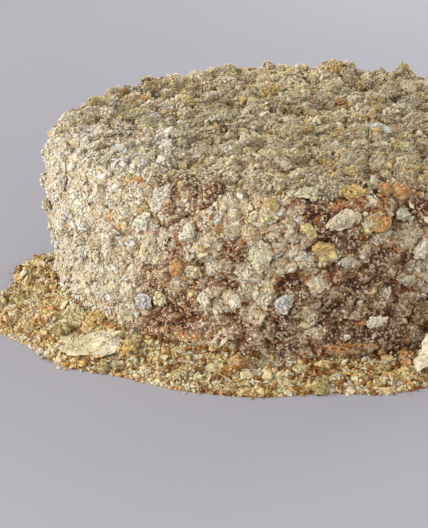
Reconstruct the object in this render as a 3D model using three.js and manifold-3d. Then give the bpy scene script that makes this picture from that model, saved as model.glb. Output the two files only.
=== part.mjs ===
// A round mille-feuille cake, as served whole: stacked pastry and cream under a coat of pastry
// crumbs, a bank of loose crumbs round its foot, and two large shards of pastry on that bank.
// Millimetres, +Z up. The origin is on the cake's axis at its flat base, and the front is -Y.
import * as THREE from "three";
import { mergeVertices } from "three/addons/utils/BufferGeometryUtils.js";
import Module from "manifold-3d";

const wasm = await Module();
wasm.setup();

// Driving dimensions of the cake
const CAKE_RADIUS = 109;
const CAKE_HEIGHT = 74;
const RIM_ROUNDING = 15;
const TOP_CROWN = 1.2;
const FOOT_TAPER = 4;
const TAPER_HEIGHT = 45;

// Driving dimensions of the crumb bank
const BANK_DEPTH = 3.2;
const BANK_RISE = 1.3;
const DRIFT_RISE = 4.5;
const DRIFT_ANGLE = 205;
const CLEARANCE = 0.5;
const BANK_BELOW = 2;
const LEAST_EDGE = 0.8;
// How far the bank runs out from the cake's axis: angle in degrees and reach.
const BANK_REACH = [
  { angle: 0, reach: 122 },
  { angle: 50, reach: 118 },
  { angle: 95, reach: 120 },
  { angle: 135, reach: 116 },
  { angle: 158, reach: 116 },
  { angle: 180, reach: 127 },
  { angle: 196, reach: 137 },
  { angle: 216, reach: 139 },
  { angle: 240, reach: 137 },
  { angle: 270, reach: 131 },
  { angle: 296, reach: 134 },
  { angle: 330, reach: 126 },
  { angle: 360, reach: 122 },
];

// Driving dimensions of the two large shards, half sunk in the bank. Each runs from one point to
// another, is as wide as stated at each, and is leaned about that line by an angle in degrees.
// keepOut is the room round the line that has no crumbs or flakes.
const SHARD_THICKNESS = 1.4;
const SHARD_GAP = 0.35;
const SHARDS = [
  {
    name: "shard_left",
    from: new THREE.Vector3(-98, -93.5, 4.8),
    to: new THREE.Vector3(-75, -92.5, 7.2),
    widths: [11, 17],
    lean: 20,
    keepOut: 8,
  },
  {
    name: "shard_right",
    from: new THREE.Vector3(51, -116.5, 3.5),
    to: new THREE.Vector3(56, -104, 19),
    widths: [23, 12],
    lean: 0,
    keepOut: 10,
  },
];

// How many pieces are fused on, and how fine the faces are
const COAT_FACES = 14;
const COAT_FLAKES = 76;
const COAT_CRUMBS = 40;
const BANK_COLUMNS = 76;
const BANK_CRUMBS = 54;
const BANK_FLAKES = 18;
const SEED = 20;

// The fused pieces lie above PIECES_FROM on the wall, and their middles stand off the surface.
const PIECES_FROM = 21;
const SIDE_FLAKE_THICKNESS = 2.4;
const SIDE_FLAKE_LIFT = 1.6;
const FLAKE_LIFT = 0.7;
const CRUMB_LIFT = 0.8;
const BANK_PIECE_LIFT = 0.5;

// The largest flakes that show on the side: angle, height, length and width.
const SIDE_FLAKES = [
  { angle: 216, height: 56, length: 17, width: 11 },
  { angle: 225, height: 46, length: 10, width: 5 },
  { angle: 234, height: 58, length: 12, width: 6 },
  { angle: 238, height: 26, length: 8, width: 6 },
  { angle: 245, height: 57, length: 8, width: 6 },
  { angle: 248, height: 28, length: 7, width: 6 },
  { angle: 255, height: 29, length: 7, width: 6 },
  { angle: 260, height: 48, length: 16, width: 11 },
  { angle: 270, height: 60, length: 8, width: 6 },
  { angle: 277, height: 63, length: 13, width: 10 },
  { angle: 285, height: 60, length: 10, width: 8 },
  { angle: 285, height: 20, length: 9, width: 5 },
  { angle: 294, height: 49, length: 9, width: 7 },
];
// The tallest lumps of crumbs on the top: angle, distance from the axis and size.
const TOP_LUMPS = [
  { angle: 77, radius: 86, size: 12 },
  { angle: 116, radius: 91, size: 9 },
  { angle: 150, radius: 88, size: 8 },
  { angle: 56, radius: 91, size: 9 },
  { angle: 3, radius: 34, size: 8 },
  { angle: 77, radius: 14, size: 7 },
];
// Shallow hollows in the top: angle, distance from the axis and width.
const TOP_HOLLOWS = [
  { angle: 165, radius: 82, width: 14 },
  { angle: 225, radius: 60, width: 16 },
  { angle: 30, radius: 64, width: 15 },
  { angle: 315, radius: 72, width: 13 },
];
// Edges of pastry layers that break through the coat: first angle, sweep and height.
const BARE_EDGES = [
  { angle: 235, sweep: 12, height: 10.5 },
  { angle: 272, sweep: 14, height: 8 },
  { angle: 274, sweep: 15, height: 68 },
  { angle: 20, sweep: 12, height: 11 },
  { angle: 118, sweep: 14, height: 11 },
  { angle: 330, sweep: 10, height: 25 },
];

const HOLLOW_DEPTH = 2.4;
const EDGE_THICKNESS = 2.8;
const EDGE_DEPTH = 7;
// The body's net runs on below the base by BELOW, and COATED_SHARE of it lies on the coat.
const BELOW = 8;
const COATED_SHARE = 0.93;

const GOLDEN_ANGLE = Math.PI * (3 - Math.sqrt(5));
const UP = new THREE.Vector3(0, 0, 1);
const radians = THREE.MathUtils.degToRad;
const { clamp, lerp, smoothstep } = THREE.MathUtils;

// --- Random draws and noise, the same at every run ---

function makeRandom(seed) {
  let state = seed >>> 0;
  return () => {
    state = (state + 0x6d2b79f5) >>> 0;
    let t = Math.imul(state ^ (state >>> 15), state | 1);
    t ^= t + Math.imul(t ^ (t >>> 7), t | 61);
    return ((t ^ (t >>> 14)) >>> 0) / 4294967296;
  };
}

const random = makeRandom(SEED);
const between = (low, high) => lerp(low, high, random());

// One value from 0 to 1 for each point of a whole-number lattice.
function latticeValue(i, j, k) {
  let h = Math.imul(i, 374761393) + Math.imul(j, 668265263) + Math.imul(k, 1274126177);
  h = Math.imul(h ^ (h >>> 13), 1103515245);
  return ((h ^ (h >>> 16)) >>> 0) / 4294967296;
}

// Smooth noise from -1 to 1 whose lumps are about one cell wide.
function lumpNoise(point, cell) {
  const scaled = point.clone().divideScalar(cell);
  const base = scaled.clone().floor();
  const ease = (t) => t * t * (3 - 2 * t);
  const f = scaled.sub(base);
  let sum = 0;
  for (let corner = 0; corner < 8; corner++) {
    const [dx, dy, dz] = [corner & 1, (corner >> 1) & 1, corner >> 2];
    const weight =
      (dx ? ease(f.x) : 1 - ease(f.x)) *
      (dy ? ease(f.y) : 1 - ease(f.y)) *
      (dz ? ease(f.z) : 1 - ease(f.z));
    sum += weight * latticeValue(base.x + dx, base.y + dy, base.z + dz);
  }
  return 2 * sum - 1;
}

// --- The cake's form ---

// How far the hand-built cake is from round, at each angle round its axis.
function outOfRound(angle) {
  return 0.8 * Math.sin(2 * angle + 0.5) + 0.6 * Math.sin(3 * angle + 2) + 0.4 * Math.sin(7 * angle);
}

// The wall leans in a little from TAPER_HEIGHT down to the foot.
function wallRadius(height) {
  return CAKE_RADIUS - FOOT_TAPER * clamp(1 - height / TAPER_HEIGHT, 0, 1) ** 1.5;
}

// Points { r, z } of the profile, from the top's centre over the rounded rim and down the wall.
function profilePoints() {
  const flat = CAKE_RADIUS - RIM_ROUNDING;
  const points = [];
  for (let i = 0; i < 60; i++) {
    const r = (flat * i) / 60;
    points.push({ r, z: CAKE_HEIGHT + TOP_CROWN * (1 - (r / flat) ** 2) });
  }
  for (let i = 0; i < 20; i++) {
    const turn = radians(90 - (90 * i) / 20);
    points.push({
      r: flat + RIM_ROUNDING * Math.cos(turn),
      z: CAKE_HEIGHT - RIM_ROUNDING + RIM_ROUNDING * Math.sin(turn),
    });
  }
  for (let i = 0; i <= 60; i++) {
    const z = lerp(CAKE_HEIGHT - RIM_ROUNDING, -BELOW, i / 60);
    points.push({ r: wallRadius(z), z });
  }
  return points;
}

const profile = profilePoints();
// Each point's share of the coated area above it, so that pieces can be spread evenly.
profile[0].area = 0;
for (let i = 1; i < profile.length; i++) {
  const [a, b] = [profile[i - 1], profile[i]];
  b.area = a.area + Math.hypot(b.r - a.r, b.z - a.z) * (a.r + b.r);
}
const coatedArea = profile.at(-1).area;

// The surface point and its outward normal, at a share of the coated area and an angle.
function surfaceAt(share, angle) {
  const wanted = clamp(share, 0, 1) * coatedArea;
  const next = Math.max(1, profile.findIndex((p) => p.area >= wanted));
  const [a, b] = [profile[next - 1], profile[next]];
  const t = (wanted - a.area) / (b.area - a.area);
  const r = lerp(a.r, b.r, t);
  const radial = new THREE.Vector3(Math.cos(angle), Math.sin(angle), 0);
  const grow = 1 + (outOfRound(angle) / CAKE_RADIUS) * (r / CAKE_RADIUS);
  const point = radial.clone().multiplyScalar(r * grow).setZ(lerp(a.z, b.z, t));
  const slope = Math.atan2(a.z - b.z, b.r - a.r);
  const normal = radial.multiplyScalar(Math.sin(slope)).setZ(Math.cos(slope)).normalize();
  return { point, normal };
}

function onTop(angle, radius) {
  const turn = radians(angle);
  return new THREE.Vector3(radius * Math.cos(turn), radius * Math.sin(turn), CAKE_HEIGHT);
}

// Lumps and hollows of the coat, in millimetres, fading out where the bank touches the wall.
function coatRelief(point) {
  const fade = smoothstep(point.z, 12, 20);
  const broad = 0.9 * lumpNoise(point, 24) + 0.8 * lumpNoise(point, 12);
  const crags = 1.4 * lumpNoise(point, 6);
  let hollows = 0;
  for (const { angle, radius, width } of TOP_HOLLOWS) {
    const away = onTop(angle, radius).distanceTo(point) / (width / 2);
    hollows += HOLLOW_DEPTH * Math.exp(-(away ** 2));
  }
  return fade * (broad + crags - hollows);
}

// --- Joining and cutting ---

function solidOf(geometry) {
  const bare = geometry.index ? geometry.toNonIndexed() : geometry.clone();
  for (const name of Object.keys(bare.attributes)) {
    if (name !== "position") bare.deleteAttribute(name);
  }
  const merged = mergeVertices(bare, 1e-3);
  return new wasm.Manifold(
    new wasm.Mesh({
      numProp: 3,
      vertProperties: merged.attributes.position.array,
      triVerts: new Uint32Array(merged.index.array),
    }),
  );
}

function geometryOf(solid) {
  const mesh = solid.getMesh();
  const geometry = new THREE.BufferGeometry();
  geometry.setAttribute("position", new THREE.BufferAttribute(mesh.vertProperties, 3));
  geometry.setIndex(new THREE.BufferAttribute(mesh.triVerts, 1));
  geometry.computeVertexNormals();
  return geometry;
}

// One closed body with a flat base and room for the two shards; loose scraps are dropped.
function fuse(geometries) {
  const joined = wasm.Manifold.union(geometries.map(solidOf));
  const floor = new THREE.BoxGeometry(400, 400, 40).translate(0, 0, -20);
  const room = SHARDS.map((shard) => solidOf(shardGeometry(shard, SHARD_GAP)));
  const cut = joined.subtract(wasm.Manifold.union([solidOf(floor), ...room]));
  return cut.decompose().sort((a, b) => b.volume() - a.volume())[0];
}

function moveVertices(geometry, move) {
  const positions = geometry.attributes.position;
  const point = new THREE.Vector3();
  for (let i = 0; i < positions.count; i++) {
    point.fromBufferAttribute(positions, i);
    positions.setXYZ(i, ...move(point).toArray());
  }
  return geometry;
}

// --- Crumbs and flakes ---

// A flat chip of pastry with an uneven outline, lying in the XY plane.
function flakeGeometry(length, width, thickness) {
  const corners = 5;
  const outline = [];
  for (let i = 0; i < corners; i++) {
    const turn = ((i + between(-0.25, 0.25)) / corners) * 2 * Math.PI;
    const reach = between(0.78, 1.1) / 2;
    outline.push(new THREE.Vector2(length * reach * Math.cos(turn), width * reach * Math.sin(turn)));
  }
  const chip = new THREE.ExtrudeGeometry(new THREE.Shape(outline), {
    depth: thickness,
    bevelEnabled: false,
  });
  return chip.translate(0, 0, -thickness / 2);
}

// A craggy lump of crumb, cut from a rounder or a simpler solid.
function crumbGeometry(size, Solid = THREE.OctahedronGeometry) {
  const seed = between(0, 50);
  const stretch = new THREE.Vector3(between(0.9, 1.2), between(0.8, 1), between(0.7, 0.9));
  return moveVertices(new Solid(size / 2), (p) => {
    const rough = 1 + 0.25 * lumpNoise(p.clone().addScalar(seed), size / 3);
    return p.multiply(stretch).multiplyScalar(rough);
  });
}

// Lays a piece on a surface: its Z along the normal, spun about it and tipped a little.
function layOn(geometry, point, normal, spin, tip, lift) {
  const turn = new THREE.Quaternion().setFromUnitVectors(UP, normal);
  turn.multiply(new THREE.Quaternion().setFromAxisAngle(UP, spin));
  turn.multiply(new THREE.Quaternion().setFromAxisAngle(new THREE.Vector3(1, 0, 0), tip));
  const place = point.clone().addScaledVector(normal, lift);
  return geometry.applyQuaternion(turn).translate(...place.toArray());
}

// The share of the coated area above a height on the wall.
function shareAtHeight(height) {
  const next = profile.find((p) => p.z <= height && p.r > CAKE_RADIUS - RIM_ROUNDING);
  return next.area / coatedArea;
}

function onWall(height, angle) {
  return surfaceAt(shareAtHeight(height), angle);
}

// True where a fused piece would touch one of the two large shards.
function nearShard(point) {
  return SHARDS.some(({ from, to, keepOut }) => {
    const nearest = new THREE.Line3(from, to).closestPointToPoint(point, true, new THREE.Vector3());
    return nearest.distanceTo(point) < keepOut;
  });
}

// --- The cake ---

// The whole body as one rough surface, drawn from an even net of triangles on a sphere.
function coatGeometry() {
  return moveVertices(new THREE.IcosahedronGeometry(1, COAT_FACES), (direction) => {
    const angle = Math.atan2(direction.y, direction.x);
    const share = (1 - clamp(direction.z, -1, 1)) / 2;
    const { point, normal } = surfaceAt(share / COATED_SHARE, angle);
    if (share <= COATED_SHARE) return point.addScaledVector(normal, coatRelief(point));
    const inward = (1 - share) / (1 - COATED_SHARE);
    return new THREE.Vector3(point.x * inward, point.y * inward, -BELOW);
  });
}

// An arc of a pastry layer's browned edge, standing a little proud of the wall.
function bareEdgeGeometry({ angle, sweep, height }) {
  const steps = 6;
  const outline = [];
  for (let i = 0; i <= steps; i++) {
    const { point, normal } = onWall(height, radians(angle + (sweep * i) / steps));
    outline.push(point.addScaledVector(normal, between(1, 2.6)));
  }
  for (const turn of [angle + sweep, angle]) {
    const { point, normal } = onWall(height, radians(turn));
    outline.push(point.addScaledVector(normal, -EDGE_DEPTH));
  }
  const edge = new THREE.ExtrudeGeometry(new THREE.Shape(outline), {
    depth: EDGE_THICKNESS,
    bevelEnabled: false,
  });
  return edge.translate(0, 0, height - EDGE_THICKNESS / 2);
}

// Flakes and crumbs spread evenly over the coat, with the same turn from each to the next.
function coatPieces(count, make) {
  const pieces = [];
  const lastShare = shareAtHeight(PIECES_FROM);
  for (let i = 0; i < count; i++) {
    const { point, normal } = surfaceAt(((i + 0.5) / count) * lastShare, i * GOLDEN_ANGLE);
    const rough = point.clone().addScaledVector(normal, coatRelief(point));
    if (!nearShard(rough)) pieces.push(make(rough, normal));
  }
  return pieces;
}

function cakeSolid() {
  const pieces = [coatGeometry()];
  pieces.push(...BARE_EDGES.map(bareEdgeGeometry));
  for (const { angle, height, length, width } of SIDE_FLAKES) {
    const { point, normal } = onWall(height, radians(angle));
    const chip = flakeGeometry(length, width, SIDE_FLAKE_THICKNESS);
    const tip = radians(between(-8, 8));
    pieces.push(layOn(chip, point, normal, between(0, Math.PI), tip, SIDE_FLAKE_LIFT));
  }
  for (const { angle, radius, size } of TOP_LUMPS) {
    const { x, y, z } = onTop(angle, radius);
    pieces.push(crumbGeometry(size, THREE.IcosahedronGeometry).translate(x, y, z + size * 0.25));
  }
  const flakes = coatPieces(COAT_FLAKES, (point, normal) => {
    const length = between(6.5, 13);
    const chip = flakeGeometry(length, length * between(0.6, 0.9), between(1.6, 2.6));
    return layOn(chip, point, normal, between(0, Math.PI), radians(between(-26, 26)), FLAKE_LIFT);
  });
  const crumbs = coatPieces(COAT_CRUMBS, (point, normal) => {
    return layOn(crumbGeometry(between(5, 8)), point, normal, between(0, Math.PI), 0, CRUMB_LIFT);
  });
  return fuse([...pieces, ...flakes, ...crumbs]);
}

// --- The bank of loose crumbs ---

// The bank's outer edge, eased from each stated angle to the next and a little ragged.
function bankReach(angle) {
  const degrees = THREE.MathUtils.euclideanModulo(THREE.MathUtils.radToDeg(angle), 360);
  const next = BANK_REACH.findIndex((stated) => stated.angle > degrees);
  const [before, after] = [BANK_REACH[next - 1], BANK_REACH[next]];
  const ragged = 1.6 * Math.sin(7 * angle + 1) + 1.4 * Math.sin(13 * angle) + Math.sin(19 * angle + 2);
  return lerp(before.reach, after.reach, smoothstep(degrees, before.angle, after.angle)) + ragged;
}

function bankStart(angle, height) {
  return wallRadius(height) + outOfRound(angle) + CLEARANCE;
}

// The bank's smooth height, at an angle and a share of the way from the wall to its outer edge.
function bankHeight(angle, across) {
  const inward = 1 - clamp(across, 0, 1);
  const drift = DRIFT_RISE * Math.max(0, Math.cos(angle - radians(DRIFT_ANGLE))) ** 3;
  return BANK_DEPTH * Math.sqrt(1 - (1 - inward) ** 4) + (BANK_RISE + drift) * inward ** 2;
}

// A ring: each point of its section is named by its share across the bank and of its height.
function bankRingGeometry() {
  const shares = [1, 0.88, 0.7, 0.48, 0.22, 0];
  const section = shares.map((share) => new THREE.Vector2(1 + share, 1));
  section.unshift(new THREE.Vector2(2, 0));
  section.push(new THREE.Vector2(1, 0), new THREE.Vector2(2, 0));
  const ring = new THREE.LatheGeometry(section, BANK_COLUMNS).rotateX(Math.PI / 2);
  return moveVertices(ring, (point) => {
    const angle = Math.atan2(point.y, point.x);
    const share = Math.hypot(point.x, point.y) - 1;
    const isTop = point.z > 0.5;
    const height = bankHeight(angle, share);
    const radius = lerp(bankStart(angle, isTop ? height : 0), bankReach(angle), share);
    const placed = new THREE.Vector3(radius * Math.cos(angle), radius * Math.sin(angle), -BANK_BELOW);
    const bumps = 1.2 * lumpNoise(placed, 4.5) * Math.min(1, share / 0.2);
    return isTop ? placed.setZ(Math.max(LEAST_EDGE, height + bumps)) : placed;
  });
}

// Crumbs and flakes lying all over the bank, clear of the cake and of the two shards.
function bankPieces(count, make) {
  const pieces = [];
  for (let i = 0; pieces.length < count; i++) {
    const angle = i * GOLDEN_ANGLE;
    const size = between(4.5, 9);
    const first = bankStart(angle, TAPER_HEIGHT) + size / 2;
    const radius = between(first, bankReach(angle) - size * 0.3);
    const point = new THREE.Vector3(radius * Math.cos(angle), radius * Math.sin(angle), 0);
    const across = (radius - bankStart(angle, 0)) / (bankReach(angle) - bankStart(angle, 0));
    point.z = bankHeight(angle, across);
    if (nearShard(point)) continue;
    const tip = radians(between(-22, 22));
    pieces.push(layOn(make(size), point, UP, between(0, Math.PI), tip, BANK_PIECE_LIFT));
  }
  return pieces;
}

function bankSolid() {
  const crumbs = bankPieces(BANK_CRUMBS, (size) => crumbGeometry(size * 0.8));
  const flakes = bankPieces(BANK_FLAKES, (size) => flakeGeometry(size * 1.2, size * 0.8, 1.6));
  return fuse([bankRingGeometry(), ...crumbs, ...flakes]);
}

// --- The two large shards ---

// A thin wavy sheet with a ragged outline, between the shard's two ends, grown all round by a gap.
function shardGeometry({ from, to, widths, lean }, gap = 0) {
  const [cellsAlong, cellsAcross] = [7, 4];
  const along = to.clone().sub(from);
  const length = along.length();
  along.normalize();
  const across = new THREE.Vector3().crossVectors(UP, along).normalize();
  across.applyAxisAngle(along, radians(lean));
  const normal = new THREE.Vector3().crossVectors(along, across);
  const middle = from.clone().lerp(to, 0.5);
  const slab = new THREE.BoxGeometry(1, 1, 1, cellsAlong, cellsAcross, 1);
  return moveVertices(slab, (p) => {
    const [u, v, side] = [p.x, p.y, Math.sign(p.z)];
    const ragged = 1 + 0.1 * Math.sin(9 * v + 2) + 0.08 * Math.sin(17 * v);
    const rounded = 1 - 0.3 * Math.abs(2 * u) ** 3 + 0.07 * Math.sin(13 * u);
    const width = lerp(...widths, u + 0.5) * rounded;
    const wave = 0.5 * Math.sin(7 * u) * Math.cos(4 * v) + 0.35 * Math.sin(9 * v + 5 * u);
    return middle
      .clone()
      .addScaledVector(along, u * (length * ragged + 2 * gap))
      .addScaledVector(across, v * (width + 2 * gap))
      .addScaledVector(normal, wave + side * (SHARD_THICKNESS / 2 + gap));
  });
}

// --- The part ---

function material(colour, roughness) {
  return new THREE.MeshStandardMaterial({ color: colour, roughness, metalness: 0, flatShading: true });
}

function namedMesh(name, geometry, finish) {
  const mesh = new THREE.Mesh(geometry, finish);
  mesh.name = name;
  return mesh;
}

const milleFeuille = new THREE.Group();
milleFeuille.add(namedMesh("cake", geometryOf(cakeSolid()), material(0xc4ad84, 0.9)));
milleFeuille.add(namedMesh("crumb_bank", geometryOf(bankSolid()), material(0xc29a5c, 0.9)));
for (const shard of SHARDS) {
  milleFeuille.add(namedMesh(shard.name, shardGeometry(shard), material(0xd9cb9a, 0.75)));
}

export default milleFeuille;
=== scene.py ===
import itertools
import math

import bmesh
import bpy
import numpy as np
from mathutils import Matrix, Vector


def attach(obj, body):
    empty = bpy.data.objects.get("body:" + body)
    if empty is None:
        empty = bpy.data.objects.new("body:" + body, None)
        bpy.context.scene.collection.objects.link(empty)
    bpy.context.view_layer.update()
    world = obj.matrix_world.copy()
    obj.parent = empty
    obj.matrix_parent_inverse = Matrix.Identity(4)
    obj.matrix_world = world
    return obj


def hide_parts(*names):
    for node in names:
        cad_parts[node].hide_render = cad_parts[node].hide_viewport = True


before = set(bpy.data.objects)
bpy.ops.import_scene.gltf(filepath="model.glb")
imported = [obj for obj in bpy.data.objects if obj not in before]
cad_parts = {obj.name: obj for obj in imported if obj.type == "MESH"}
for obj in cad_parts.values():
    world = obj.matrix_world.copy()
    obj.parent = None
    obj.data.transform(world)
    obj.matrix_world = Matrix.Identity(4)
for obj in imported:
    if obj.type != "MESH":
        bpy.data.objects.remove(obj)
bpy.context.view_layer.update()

MM = 0.001
GOLDEN_ANGLE = math.pi * (3 - math.sqrt(5))
rng = np.random.default_rng(20)

# The cake
CAKE_RADIUS = 109
CAKE_HEIGHT = 74
RIM_ROUNDING = 15
TOP_CROWN = 1.2
FOOT_TAPER = 4
TAPER_HEIGHT = 45
HOLLOW_DEPTH = 2.4
# The body's net: cells along each edge of the 20 faces it starts from, and the share of it that is
# drawn over the coated surface. The rest closes the base.
BODY_CELLS = 90
COATED_SHARE = 0.95
# Crumbs stick together in clumps of two sizes.
LARGE_CLUMP = 9
SMALL_CLUMP = 3.6
# The coat's crumbs start at this height, as the bank hides what is lower.
COAT_FOOT = 4
# No crumb reaches lower than this.
LOWEST = 0.02
# Large flakes spread over the coat, besides those with a place of their own.
SPREAD_FLAKES = 76
# Shallow hollows in the top: angle, distance from the axis, width.
TOP_HOLLOWS = [(165, 82, 14), (225, 60, 16), (30, 64, 15), (315, 72, 13)]
# The tallest lumps of crumbs on the top: angle, distance from the axis, size.
TOP_LUMPS = [(77, 86, 12), (116, 91, 9), (150, 88, 8), (56, 91, 9), (3, 34, 8), (77, 14, 7)]
# The largest flakes on the side: angle, height, length, width, colour.
SIDE_FLAKES = [
    (216, 56, 17, 11, "ivory"), (225, 46, 10, 5, "ivory"), (234, 58, 12, 6, "ivory"),
    (238, 26, 8, 6, "straw"), (245, 57, 8, 6, "ivory"), (248, 28, 7, 6, "ivory"),
    (255, 29, 7, 6, "ivory"), (260, 48, 16, 11, "cream"), (270, 60, 8, 6, "yellow"),
    (277, 63, 13, 10, "cream"), (285, 60, 10, 8, "orange"), (285, 20, 9, 5, "ivory"),
    (294, 49, 9, 7, "ivory"),
]
# Lumps of browner crumbs on the side: angle, height, length, width, one of three colours.
GOLD = (0.60, 0.38, 0.13)
RUST = (0.48, 0.23, 0.08)
OLIVE = (0.34, 0.26, 0.09)
SIDE_LUMPS = [
    (280, 72, 12, 6, GOLD), (287, 72, 8, 6, RUST), (291, 71, 7, 7, RUST), (262, 68, 6, 5, GOLD),
    (284, 61, 7, 5, GOLD), (273, 52, 8, 5, GOLD), (242, 40, 5, 7, RUST), (40, 45, 9, 6, GOLD),
    (120, 60, 8, 7, RUST), (170, 35, 8, 6, GOLD), (330, 66, 9, 6, GOLD),
]
# Lumps on the crumb bank: angle, distance from the axis, length, width, colour.
BANK_LUMPS = [
    (219, 110, 10, 8, GOLD), (216.5, 123, 9, 7, OLIVE), (233, 119, 9, 9, GOLD), (233, 134, 6, 4, OLIVE),
    (291, 113, 10, 7, RUST), (256, 113, 7, 5, RUST), (272, 128, 8, 6, OLIVE), (15, 114, 9, 7, GOLD),
    (95, 113, 8, 7, OLIVE), (150, 112, 9, 7, GOLD), (320, 119, 9, 6, OLIVE),
]
# Edges of pastry layers that break through the coat: first angle, sweep, height.
BARE_EDGES = [(235, 12, 10.5), (272, 14, 8), (274, 15, 68), (20, 12, 11), (118, 14, 11), (330, 10, 25)]

# The crumb bank: its depth, its rise towards the wall, which is higher in the drift at the left, the
# gap at the wall, and how far it runs out at each angle.
BANK_DEPTH = 3.2
BANK_RISE = 1.3
DRIFT_RISE = 4.5
DRIFT_ANGLE = 205
CLEARANCE = 0.5
REACH_ANGLES = np.array([0, 50, 95, 135, 158, 180, 196, 216, 240, 270, 296, 330, 360])
REACHES = np.array([122, 118, 120, 116, 116, 127, 137, 139, 137, 131, 134, 126, 122])

# The two large shards: both ends of the middle line, the width at each, lean, colour.
SHARD_THICKNESS = 1.4
SHARDS = {
    "shard_left": ((-98, -93.5, 4.8), (-75, -92.5, 7.2), (11, 17), 20, "straw"),
    "shard_right": ((51, -116.5, 3.5), (56, -104, 19), (23, 12), 0, "cream"),
}

# Where the coat is thicker, or thinner over the brown body: angle, height, width, change.
COAT_PATCHES = [
    (206, 31, 34, 0.3), (206, 66, 36, 0.25), (220, 42, 30, -0.25), (230, 64, 18, 0.25),
    (256, 65, 20, 0.2), (262, 48, 20, 0.3), (238, 44, 24, -0.4), (240, 20, 34, -0.45),
    (254, 47, 13, -0.5), (237, 71, 16, -0.45), (248, 70, 16, -0.45), (261, 9, 24, -0.35),
    (267, 34, 10, -0.4), (280, 22, 46, -0.22), (276, 68, 20, -0.45), (294, 65, 16, -0.45),
]
# Golden and orange spots on the wall: angle, height, width.
WARM_PATCHES = [
    (240, 9, 14), (278, 5, 16), (280, 73, 9), (287, 72, 9), (285, 61, 9), (274, 50, 8),
    (237, 32, 7), (258, 72, 6), (26, 40, 10), (95, 61, 10), (150, 22, 12), (330, 50, 9),
]
# Golden spots on the top: angle, distance from the axis, width.
TOP_SPOTS = [
    (359, 29, 13), (83, 5, 11), (155, 83, 14), (226, 53, 9), (60, 78, 16), (110, 84, 14),
    (280, 60, 9),
]

# Wide parts of the wall: where the painted shade in cracks and hollows is faint, where the palest crumbs
# lie, where the top is pale too, where painted light makes all crumbs lighter, and where the body is
# reddest. Each has an angle, height, width.
FAINT_PAINTED_SHADE = (205, 55, 110)
FROSTING = (205, 45, 100)
PALE_SHOULDER = (212, 72, 75)
PAINTED_LIGHT_SHOULDER = (208, 72, 90)
REDDEST = (239, 35, 60)
# The back of the top, lighter with painted light: angle, distance from the axis, width.
PAINTED_LIGHT_BACK = (95, 90, 90)

# Painted shade on crumbs in the cracks between clumps, partly browning, and painted shade in the hollows
# between large clumps: brown on the wall, olive on the top.
CRACK_BROWNING_AND_SHADE = np.array([0.36, 0.20, 0.09])
WALL_HOLLOW_SHADE = np.array([0.57, 0.345, 0.19])
TOP_HOLLOW_SHADE = np.array([0.50, 0.44, 0.25])

# The body between the crumbs: where it is bare, where it is bare and red, and under a thick coat.
BARE_BODY = np.array([0.11, 0.06, 0.03])
RED_BODY = np.array([0.30, 0.10, 0.045])
COVERED_BODY = np.array([0.62, 0.52, 0.33])

# How bright a crumb may be, and colours of pastry and cream: linear red, green and blue.
BRIGHTEST = 0.59
PALETTE = {
    "white": (0.86, 0.82, 0.72),
    "ivory": (0.81, 0.725, 0.56),
    "cream": (0.74, 0.645, 0.44),
    "straw": (0.62, 0.54, 0.32),
    "yellow": (0.68, 0.54, 0.25),
    "golden": (0.60, 0.41, 0.16),
    "orange": (0.54, 0.30, 0.12),
    "tan": (0.46, 0.33, 0.21),
    "pink": (0.52, 0.36, 0.27),
    "brown": (0.24, 0.12, 0.07),
    "dark": (0.08, 0.045, 0.03),
}


# --- Noise, as in the part's source, and two helpers ---


def lattice_value(i, j, k):
    """One value from 0 to 1 for each point of a whole-number lattice."""
    i, j, k = (np.asarray(n).astype(np.int64).astype(np.uint32) for n in (i, j, k))
    h = i * np.uint32(374761393) + j * np.uint32(668265263) + k * np.uint32(1274126177)
    h = (h ^ (h >> np.uint32(13))) * np.uint32(1103515245)
    return (h ^ (h >> np.uint32(16))) / 4294967296


def lump_noise(points, cell):
    """Smooth noise from -1 to 1 whose lumps are about one cell wide."""
    scaled = np.asarray(points) / cell
    base = np.floor(scaled)
    f = scaled - base
    ease = f * f * (3 - 2 * f)
    total = 0
    for corner in range(8):
        step = np.array([corner & 1, (corner >> 1) & 1, corner >> 2])
        weight = np.where(step == 1, ease, 1 - ease).prod(-1)
        total = total + weight * lattice_value(*np.moveaxis(base + step, -1, 0))
    return 2 * total - 1


def smoothstep(x, low, high):
    t = np.clip((x - low) / (high - low), 0, 1)
    return t * t * (3 - 2 * t)


def polar(angle, radius, height):
    """Points, or directions, from an angle and a distance round the axis and a height."""
    return np.stack(np.broadcast_arrays(radius * np.cos(angle), radius * np.sin(angle), height), -1)


# --- The cake's form ---


def out_of_round(angle):
    return 0.8 * np.sin(2 * angle + 0.5) + 0.6 * np.sin(3 * angle + 2) + 0.4 * np.sin(7 * angle)


def wall_radius(height):
    lean = np.clip(1 - np.asarray(height) / TAPER_HEIGHT, 0, 1) ** 1.5
    return CAKE_RADIUS - FOOT_TAPER * lean


def profile_points():
    """Radius, height and coated area above, from the top's centre down to the base."""
    flat = CAKE_RADIUS - RIM_ROUNDING
    top = np.linspace(0, flat, 60, endpoint=False)
    turn = np.radians(90 - np.linspace(0, 90, 20, endpoint=False))
    wall = np.linspace(CAKE_HEIGHT - RIM_ROUNDING, 0, 60)
    r = np.concatenate([top, flat + RIM_ROUNDING * np.cos(turn), wall_radius(wall)])
    crown = CAKE_HEIGHT + TOP_CROWN * (1 - (top / flat) ** 2)
    rim = CAKE_HEIGHT - RIM_ROUNDING + RIM_ROUNDING * np.sin(turn)
    z = np.concatenate([crown, rim, wall])
    steps = np.hypot(np.diff(r), np.diff(z)) * (r[1:] + r[:-1])
    return r, z, np.concatenate([[0], np.cumsum(steps)])


PROFILE_R, PROFILE_Z, PROFILE_AREA = profile_points()
PROFILE_SLOPE = np.arctan2(-np.gradient(PROFILE_Z), np.gradient(PROFILE_R))
COATED_AREA = PROFILE_AREA[-1]


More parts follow.
